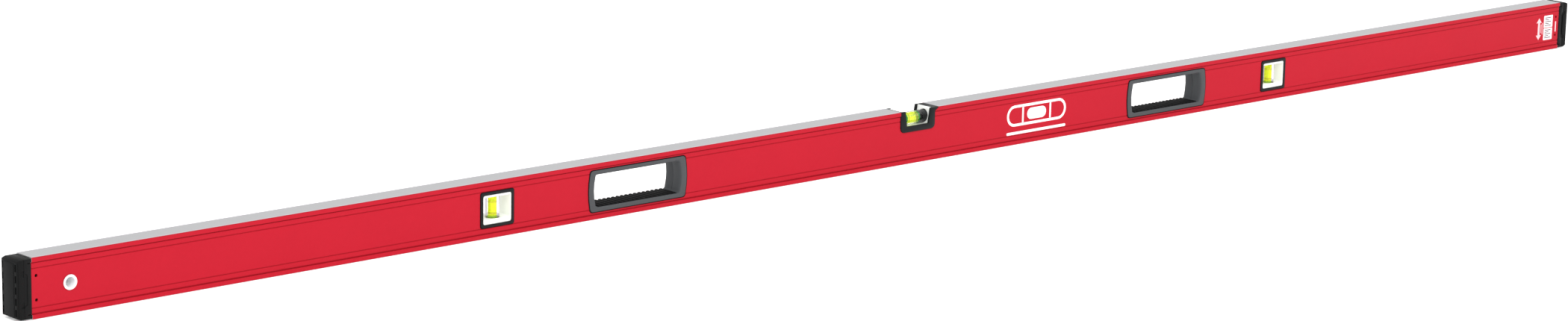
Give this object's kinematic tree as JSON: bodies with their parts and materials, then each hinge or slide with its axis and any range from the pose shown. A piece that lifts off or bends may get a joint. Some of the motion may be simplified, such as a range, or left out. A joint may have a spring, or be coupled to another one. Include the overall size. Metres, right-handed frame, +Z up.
{
  "type": "spirit level",
  "caption": "Long box-section spirit level with a centre vial in a top notch, a plumb vial near each end, hand holes, a hang hole and bumper end caps.",
  "frame": {"origin": "centre of the bottom measuring face, halfway along the level", "axes": "+X along the beam towards its right end as seen from the front, +Y to the rear face, +Z up to the top measuring face"},
  "size_m": [2.4384, 0.0286, 0.0635],
  "materials": {
    "red_coat": "satin red powder coat, with the measuring faces milled bare",
    "cap_plastic": "fine moulded texture",
    "cap_rubber": "matte moulded rubber",
    "bush_plastic": "pale, smooth",
    "grip_plastic": "fine moulded texture",
    "grip_rubber": "matte, ribbed",
    "black_plastic": "fine moulded texture",
    "white_plastic": "smooth white",
    "clear_acrylic": "polished clear acrylic",
    "vial_plug": "smooth",
    "vial_fluid": "clear yellow-green liquid",
    "air_bubble": "clear air bubble",
    "reading_line": "black line"
  },
  "bodies": {
    "level_body": {"box_beam": "red_coat", "hang_bush_front": "bush_plastic", "hang_bush_rear": "bush_plastic", "grip_left_front": "grip_plastic", "grip_left_rear": "grip_plastic", "grip_pad_left": "grip_rubber", "grip_right_front": "grip_plastic", "grip_right_rear": "grip_plastic", "grip_pad_right": "grip_rubber", "centre_housing_front": "black_plastic", "centre_housing_rear": "black_plastic", "centre_carrier": "white_plastic", "centre_sleeve_left": "black_plastic", "centre_sleeve_right": "black_plastic", "plumb_left_bezel_front": "black_plastic", "plumb_left_bezel_rear": "black_plastic", "plumb_left_carrier": "white_plastic", "plumb_right_bezel_front": "black_plastic", "plumb_right_bezel_rear": "black_plastic", "plumb_right_carrier": "white_plastic", "centre_vial": "clear_acrylic", "centre_plug": "vial_plug", "centre_fluid": "vial_fluid", "centre_ring_a": "reading_line", "centre_ring_b": "reading_line", "plumb_left_vial": "clear_acrylic", "plumb_left_plug": "vial_plug", "plumb_left_fluid": "vial_fluid", "plumb_left_ring_a": "reading_line", "plumb_left_ring_b": "reading_line", "plumb_right_vial": "clear_acrylic", "plumb_right_plug": "vial_plug", "plumb_right_fluid": "vial_fluid", "plumb_right_ring_a": "reading_line", "plumb_right_ring_b": "reading_line"},
    "end_cap_left": {"end_plug_left": "cap_plastic", "end_bumper_left": "cap_rubber"},
    "end_cap_right": {"end_plug_right": "cap_plastic", "end_bumper_right": "cap_rubber"},
    "bubble_centre": {"centre_bubble": "air_bubble"},
    "bubble_left": {"plumb_left_bubble": "air_bubble"},
    "bubble_right": {"plumb_right_bubble": "air_bubble"}
  },
  "joints": [
    {"name": "end_cap_left_pull", "type": "slide", "parent": "level_body", "child": "end_cap_left", "axis": [-1, 0, 0], "range_m": [0, 0.03]},
    {"name": "end_cap_right_pull", "type": "slide", "parent": "level_body", "child": "end_cap_right", "axis": [1, 0, 0], "range_m": [0, 0.03]},
    {"name": "centre_bubble_travel", "type": "slide", "parent": "level_body", "child": "bubble_centre", "axis": [1, 0, 0], "range_m": [-0.0105, 0.0105], "stiffness_N_per_m": 2},
    {"name": "plumb_left_bubble_travel", "type": "slide", "parent": "level_body", "child": "bubble_left", "axis": [0, 0, -1], "range_m": [0, 0.0175], "stiffness_N_per_m": 5, "springref_m": -0.005},
    {"name": "plumb_right_bubble_travel", "type": "slide", "parent": "level_body", "child": "bubble_right", "axis": [0, 0, -1], "range_m": [0, 0.0175], "stiffness_N_per_m": 5, "springref_m": -0.005}
  ]
}
